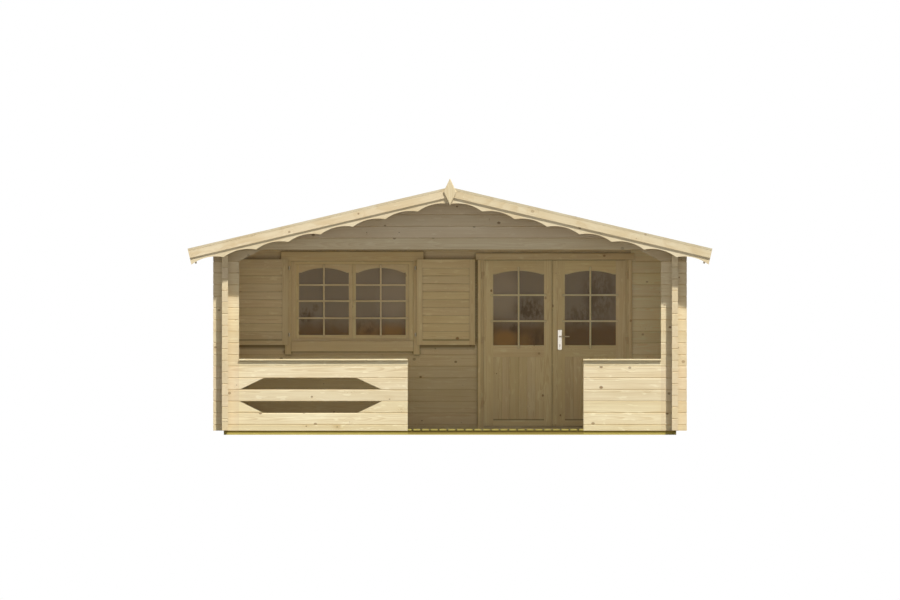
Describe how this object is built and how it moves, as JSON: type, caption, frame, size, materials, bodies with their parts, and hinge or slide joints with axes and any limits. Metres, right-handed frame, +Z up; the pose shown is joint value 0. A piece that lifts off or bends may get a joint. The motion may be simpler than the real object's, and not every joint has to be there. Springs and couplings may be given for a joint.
{
  "type": "garden log cabin",
  "caption": "Gabled log cabin with a roofed veranda, sloping cut-outs in its balustrade, a shuttered window and a glazed double door that swings out",
  "frame": {"origin": "centre of the bounding box at the ground, under the foundation joists", "axes": "+X to the right as seen from the veranda, +Y from the veranda to the rear wall, +Z up"},
  "size_m": [5.984, 6.618, 2.924],
  "materials": {
    "spruce_logs": "planed, untreated",
    "spruce_boards": "planed, untreated",
    "spruce_joinery": "planed and sanded",
    "treated_wood": "pressure treated",
    "roof_felt": "mineral felt",
    "pane_glass": "clear",
    "bright_metal": "satin"
  },
  "bodies": {
    "cabin": {"foundation_joists": "treated_wood", "veranda_deck": "treated_wood", "room_floor": "spruce_boards", "left_wall": "spruce_logs", "right_wall": "spruce_logs", "rear_wall": "spruce_logs", "room_wall_left": "spruce_logs", "room_wall_below_window": "spruce_logs", "room_wall_over_window": "spruce_logs", "room_wall_middle": "spruce_logs", "room_wall_right": "spruce_logs", "room_wall_over_door": "spruce_logs", "room_gable": "spruce_logs", "left_porch_post": "spruce_logs", "right_porch_post": "spruce_logs", "porch_haunches": "spruce_logs", "porch_gable": "spruce_logs", "left_balustrade_base": "spruce_logs", "left_balustrade_lower_ends": "spruce_logs", "left_balustrade_middle_log": "spruce_logs", "left_balustrade_upper_ends": "spruce_logs", "left_balustrade_top": "spruce_logs", "right_balustrade": "spruce_logs", "rail_caps": "spruce_boards", "roof_purlins": "spruce_boards", "left_roof_boards": "spruce_boards", "right_roof_boards": "spruce_boards", "left_roof_felt": "roof_felt", "right_roof_felt": "roof_felt", "left_eaves_fascia": "spruce_boards", "right_eaves_fascia": "spruce_boards", "front_barge_boards": "spruce_boards", "scalloped_boards": "spruce_boards", "rear_barge_boards": "spruce_boards", "gable_finial": "spruce_boards", "window_frame": "spruce_joinery", "window_sashes": "spruce_joinery", "window_glass": "pane_glass", "window_casing": "spruce_joinery", "left_shutter": "spruce_joinery", "right_shutter": "spruce_joinery", "left_door_jamb": "spruce_joinery", "right_door_jamb": "spruce_joinery", "door_head": "spruce_joinery", "door_threshold": "spruce_joinery", "door_casing": "spruce_joinery", "frame_hinges": "bright_metal"},
    "left_leaf": {"left_door": "spruce_joinery", "left_door_glass": "pane_glass", "left_door_hinges": "bright_metal"},
    "right_leaf": {"right_door": "spruce_joinery", "right_door_glass": "pane_glass", "right_door_hinges": "bright_metal", "door_handle_plates": "bright_metal"},
    "lever": {"door_levers": "bright_metal"}
  },
  "joints": [
    {"name": "left_door_swing", "type": "hinge", "parent": "cabin", "child": "left_leaf", "pos_m": [0.368, -1.001, 1], "axis": [0, 0, 1], "range_deg": [-110, 0]},
    {"name": "right_door_swing", "type": "hinge", "parent": "cabin", "child": "right_leaf", "pos_m": [2.023, -1.001, 1], "axis": [0, 0, 1], "range_deg": [0, 110]},
    {"name": "lever_turn", "type": "hinge", "parent": "right_leaf", "child": "lever", "pos_m": [1.252, -0.97, 1.12], "axis": [0, 1, 0], "range_deg": [0, 40], "stiffness_Nm_per_rad": 1.2}
  ]
}
